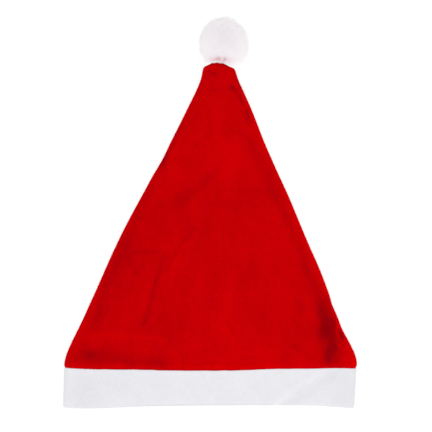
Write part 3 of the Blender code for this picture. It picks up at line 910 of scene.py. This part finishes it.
# The pompom's outline seen from above. turn: degrees round from +X towards +Y. reach: share of its radius.
POMPOM_OUTLINE = [
    PompomPoint(-180, 0.975),
    PompomPoint(-150, 1.03),
    PompomPoint(-138, 1.07),
    PompomPoint(-125, 1.09),
    PompomPoint(-90, 1.00),
    PompomPoint(-60, 1.08),
    PompomPoint(-45, 1.16),
    PompomPoint(-32, 1.13),
    PompomPoint(-6, 1.04),
    PompomPoint(9, 0.995),
    PompomPoint(31, 1.00),
    PompomPoint(43, 0.97),
    PompomPoint(51, 0.91),
    PompomPoint(58, 0.98),
    PompomPoint(65, 1.03),
    PompomPoint(86, 1.00),
    PompomPoint(108, 0.975),
    PompomPoint(140, 0.965),
    PompomPoint(159, 0.945),
    PompomPoint(180, 0.975),
]
# Painted red reflection and painted shade on the pile where it meets the crown's end, standing for red light
# thrown up by the crown and for shade between the strands, in metres
PLUSH_RED_BOUNCE_AND_SHADE = [
    Stroke([Vector((-0.004, 0.1500)), Vector((0.009, 0.1520)), Vector((0.023, 0.1490))], 0.0070, 0.16),
    Stroke([Vector((0.0030, 0.1500)), Vector((0.0060, 0.1518)), Vector((0.0054, 0.1542))], 0.0026, 0.20),
    Stroke([Vector((0.0124, 0.1500)), Vector((0.0120, 0.1534))], 0.0024, 0.24),
    Stroke([Vector((0.0160, 0.1490)), Vector((0.0158, 0.1508))], 0.0022, 0.16),
    Stroke([Vector((0.0030, 0.1500)), Vector((0.0060, 0.1512))], 0.0030, 0.45),
    Stroke([Vector((0.0116, 0.1495)), Vector((0.0122, 0.1506))], 0.0026, 0.40),
]
# The plush's ground, how deep the tufts stand in it, and the lowest that a strand lies, in metres
CORE_REACH = 0.0196
ROOT_DEPTH = 0.0012
STRAND_LOWEST = 0.0004
PILE_LAYERS = 4
TUFTS_A_LAYER = 630
TUFT_KINDS = 9
# Red tufts along each side of the crown and along the felt's edge. The sides' start just above the felt,
# are rooted a little inside the cloth's edge, and end short of the tip.
SIDE_TUFTS = 600
SEAM_TUFTS = 560
SIDE_START = 0.0012
NAP_ROOT = 0.0007
BARE_TIP = 0.010

TuftKind = namedtuple("TuftKind", "fibres length width spread steps")
# A tuft's fibres, in metres. Each step of a fibre is its share of the length, and how far it tapers.
PLUSH_TUFT = TuftKind(
    fibres=19,
    length=POMPOM_DIAMETER / 2 - CORE_REACH + ROOT_DEPTH,
    width=0.00032,
    spread=0.0012,
    steps=((0.55, 0.85), (0.45, 0.30)),
)
NAP_TUFT = TuftKind(fibres=4, length=0.0011, width=0.00015, spread=0.0004, steps=((1.0, 0.4),))


def pompom_reach(out):
    """How far the pile reaches from the pompom's centre in a direction."""
    turn = math.degrees(math.atan2(out.y, out.x))
    share = curve_at(POMPOM_OUTLINE, "turn", "reach", turn)
    level = out.x * out.x + out.y * out.y
    lumps = 0.030 * noise.noise(out * 3.1) + 0.020 * noise.noise(out * 7.0)
    return POMPOM_DIAMETER / 2 * (1 + (share - 1) * level + lumps)


def make_tuft(name, kind, dice, gather, curl):
    """A tuft of fibres that starts at the origin and stands along +Z, in metres."""
    mesh = bmesh.new()
    for _ in range(kind.fibres):
        length = kind.length * dice.uniform(0.72, 1.0)
        root = Vector((dice.gauss(0, kind.spread), dice.gauss(0, kind.spread), 0))
        heading = Vector((0, 0, 1)) - root * gather / length
        heading += Vector((dice.gauss(0, 0.12), dice.gauss(0, 0.12), 0))
        bend = Vector((dice.gauss(0, curl), dice.gauss(0, curl), 0))
        made = bmesh.ops.create_circle(mesh, cap_ends=True, segments=3, radius=kind.width / 2)["verts"]
        turned = Matrix.Translation(root) @ Matrix.Rotation(dice.uniform(0, 2 * math.pi), 4, "Z")
        bmesh.ops.transform(mesh, verts=made, matrix=turned)
        face = made[0].link_faces[0]
        for share, taper in kind.steps:
            face = bmesh.ops.extrude_discrete_faces(mesh, faces=[face])["faces"][0]
            middle = face.calc_center_median()
            for vert in face.verts:
                vert.co = middle + (vert.co - middle) * taper + heading.normalized() * length * share
            heading = heading.normalized() + bend
    data = bpy.data.meshes.new(name)
    mesh.to_mesh(data)
    mesh.free()
    return data


def join_tufts(name, tufts, places, material):
    """Copies of the tufts set at many places and joined into one piece."""
    made = []
    for n, place in enumerate(places):
        tuft = bpy.data.objects.new(name, tufts[n % len(tufts)])
        bpy.context.scene.collection.objects.link(tuft)
        tuft.matrix_world = place
        made.append(tuft)
    bpy.context.view_layer.update()
    for other in bpy.context.selected_objects:
        other.select_set(False)
    for tuft in made:
        tuft.select_set(True)
    first = made[0]
    first.data = first.data.copy()
    bpy.context.view_layer.objects.active = first
    bpy.ops.object.join()
    first.data.transform(first.matrix_world)
    first.matrix_world = Matrix.Identity(4)
    first.name = name
    first.data.name = name
    first.data.materials.clear()
    first.data.materials.append(material)
    first.data.shade_smooth()
    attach(first, "root")
    return first


def ball_directions(count, turn):
    """Directions spread evenly over a ball."""
    for n in range(count):
        z = 1 - (2 * n + 1) / count
        angle = n * math.pi * (3 - math.sqrt(5)) + turn
        r = math.sqrt(1 - z * z)
        yield Vector((r * math.cos(angle), z, r * math.sin(angle)))


TIP = crown_tube(1)


def over_crown(place):
    """How far a point stands out over the crown's end, or 0 beside it or clear of it."""
    if place.y > TIP_Y or not TIP.left - 0.001 < place.x < TIP.right + 0.001 or place.z < TIP.floor:
        return 0.0
    edge = TIP_Y - end_shift(max(-1.0, min(1.0, across_of(TIP, place.x))), TIP_Y, 1)
    return max(0.0, edge - place.y)


def combed(root, out, length, overlap):
    """Which way a tuft stands once it is brushed back off the crown's end, past which it may reach a bit."""
    over = over_crown(root + out * length) - overlap
    if over <= 0:
        return out
    lean = max(-0.95, min(0.1, out.y + over / length))
    rest = Vector((out.x, 0, out.z + 0.25))
    return rest.normalized() * math.sqrt(1 - lean * lean) + Vector((0, lean, 0))


def keep_off_crown(place):
    """Moves a point of the pile that would stand in the crown's end back out of it."""
    if place.z < TIP.top + STRAND_LOWEST:
        place.y += over_crown(place)


def plush_pompom():
    core_finish = plush_finish("plush_core", (0.78, 0.75, 0.77, 1), (0.88, 0.85, 0.87, 1), 0.10)
    strand_finish = plush_finish("plush_pile", (0.86, 0.84, 0.855, 1), (0.94, 0.92, 0.935, 1), 0.20)
    mesh = bmesh.new()
    bmesh.ops.create_icosphere(mesh, subdivisions=5, radius=CORE_REACH)
    for vert in mesh.verts:
        out = vert.co.normalized()
        vert.co += out * 0.0008 * noise.noise(out * 5.0)
        vert.co.y = max(vert.co.y, -SEAT_REACH + 0.0002)
        vert.co += POMPOM_AT
    core = make_object("pompom_core", mesh, core_finish)
    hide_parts("pompom")
    dice = random.Random(7)
    tufts = [make_tuft("tuft", PLUSH_TUFT, dice, dice.uniform(-0.2, 1.0), 0.16) for _ in range(TUFT_KINDS)]
    for layer in range(PILE_LAYERS):
        places = []
        for out in ball_directions(TUFTS_A_LAYER, layer * 1.3):
            out = (out + Vector([dice.gauss(0, 0.035) for _ in range(3)])).normalized()
            if out.y < -0.985:
                continue
            reach = pompom_reach(out) * dice.choice((0.92, 0.95, 0.97, 0.99, 1.02))
            length = reach - CORE_REACH + ROOT_DEPTH
            size = length / PLUSH_TUFT.length
            turn = Matrix.Rotation(dice.uniform(0, 2 * math.pi), 4, "Z")
            root = POMPOM_AT + out * (CORE_REACH - ROOT_DEPTH)
            root.y = max(root.y, TIP_Y + 0.0008)
            heading = combed(root, out, length, dice.uniform(-0.0006, 0.0012))
            aim = heading.to_track_quat("Z", "Y").to_matrix().to_4x4()
            places.append(Matrix.Translation(root) @ aim @ turn @ Matrix.Diagonal((1, 1, size, 1)))
        pile = join_tufts(f"pompom_pile_{layer + 1}", tufts, places, strand_finish)
        for vert in pile.data.vertices:
            vert.co.z = max(vert.co.z, STRAND_LOWEST)
            keep_off_crown(vert.co)
        # Painted red reflection and shade on the pile near the crown's end
        write_marks(pile, "red_bounce_and_shade", PLUSH_RED_BOUNCE_AND_SHADE, 0.0010, sway=0.006, floor=0.026)
        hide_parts("pompom")
    for tuft in tufts:
        bpy.data.meshes.remove(tuft)


def nap_fringe(material):
    """The red pile seen against the light at the crown's sides, and where it leans over the felt."""
    dice = random.Random(11)
    tufts = [make_tuft("nap_and_painted_light", NAP_TUFT, dice, 0.0, 0.0) for _ in range(TUFT_KINDS)]
    places = []

    def plant(root, heading):
        aim = heading.to_track_quat("Z", "Y").to_matrix().to_4x4()
        turn = Matrix.Rotation(dice.uniform(0, 2 * math.pi), 4, "Z")
        places.append(Matrix.Translation(root) @ aim @ turn)

    for side in (-1, 1):
        for n in range(SIDE_TUFTS):
            y = SEAM_Y + SIDE_START + (CROWN_LENGTH - BARE_TIP) * (n + dice.random()) / SIDE_TUFTS
            tube = crown_tube((y - SEAM_Y) / CROWN_LENGTH)
            edge = tube.left if side < 0 else tube.right
            z = tube.floor + tube.fold / 2 * dice.uniform(0.8, 1.5)
            root = Vector((edge - side * NAP_ROOT, y, z))
            plant(root, Vector((side, dice.uniform(-0.6, 0.1), dice.uniform(0.0, 0.8))))
    seam = crown_tube(0)
    for n in range(SEAM_TUFTS):
        across = -0.985 + 1.97 * (n + dice.random()) / SEAM_TUFTS
        x = (seam.left + seam.right) / 2 + across * (seam.right - seam.left) / 2
        z = surface_z(inset(seam, HEM_INSET * 0.45), x, 1)
        root = Vector((x, SEAM_Y + 0.0008 - seam_sag(across), z))
        plant(root, Vector((dice.gauss(0, 0.4), -1, dice.uniform(0.2, 0.6))))
    fringe = join_tufts("crown_nap", tufts, places, material)
    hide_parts("crown_front")
    for tuft in tufts:
        bpy.data.meshes.remove(tuft)


def soft_light(name, place, size, power):
    data = bpy.data.lights.new(name, "AREA")
    data.size = size
    data.energy = power
    lamp = bpy.data.objects.new(name, data)
    lamp.location = place
    lamp.rotation_euler = (-Vector(place)).to_track_quat("-Z", "Y").to_euler()
    bpy.context.scene.collection.objects.link(lamp)


def studio():
    """A white table under a soft overhead light, seen from straight above."""
    mesh = bmesh.new()
    bmesh.ops.create_grid(mesh, x_segments=1, y_segments=1, size=3.0)
    floor_finish = Finish(
        "table",
        Roughness=1.0,
        Specular_IOR_Level=0.0,
        Base_Color=(0.16, 0.16, 0.16, 1),
        Emission_Color=(1, 1, 1, 1),
        Emission_Strength=0.87,
    )
    data = bpy.data.meshes.new("table")
    mesh.to_mesh(data)
    mesh.free()
    data.materials.append(floor_finish.material)
    table = bpy.data.objects.new("table", data)
    table.location.z = -0.0006
    bpy.context.scene.collection.objects.link(table)
    world = bpy.data.worlds.new("studio")
    world.use_nodes = True
    world.node_tree.nodes["Background"].inputs["Color"].default_value = (1, 1, 1, 1)
    world.node_tree.nodes["Background"].inputs["Strength"].default_value = 0.88
    bpy.context.scene.world = world
    soft_light("key_light", (0.3, -2.0, 3.6), 1.8, 44.0)
    camera = bpy.data.cameras.new("camera")
    camera.lens = 200
    camera.sensor_width = 36
    camera.clip_start = 0.1
    camera.clip_end = 20
    eye = bpy.data.objects.new("camera", camera)
    eye.location = (0.0058, -0.0028, 2.4)
    bpy.context.scene.collection.objects.link(eye)
    bpy.context.scene.camera = eye
    bpy.context.scene.view_settings.view_transform = "Standard"


laid_folds = laid_strokes(FOLDS)

velour = velour_finish()
wrong_side = wrong_side_finish()
felt = felt_finish()

front = panel_cloth("crown_front_cloth", 1, dress_front, 92, 64, (velour, wrong_side))
# Nap patches on the front, with painted shade and highlights along its folds and edges
write_marks(front, "nap_and_painted_light", laid_strokes(NAP_AND_PAINTED_LIGHT_MARKS))
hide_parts("crown_front")

back = panel_cloth("crown_back_cloth", -1, dress_back, 56, 30, (velour, wrong_side))
write_marks(back, "nap_and_painted_light", [])
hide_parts("crown_back")

band = felt_band("band_felt", felt)
# Painted shade and highlights along the band's dips and sides
write_marks(band, "nap_and_painted_light", laid_strokes(BAND_LIGHT_AND_SHADE_MARKS))
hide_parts("band")

# The fringe's strands carry the pile's painted highlight and glow
nap_fringe(pile_glow_finish())
plush_pompom()
studio()
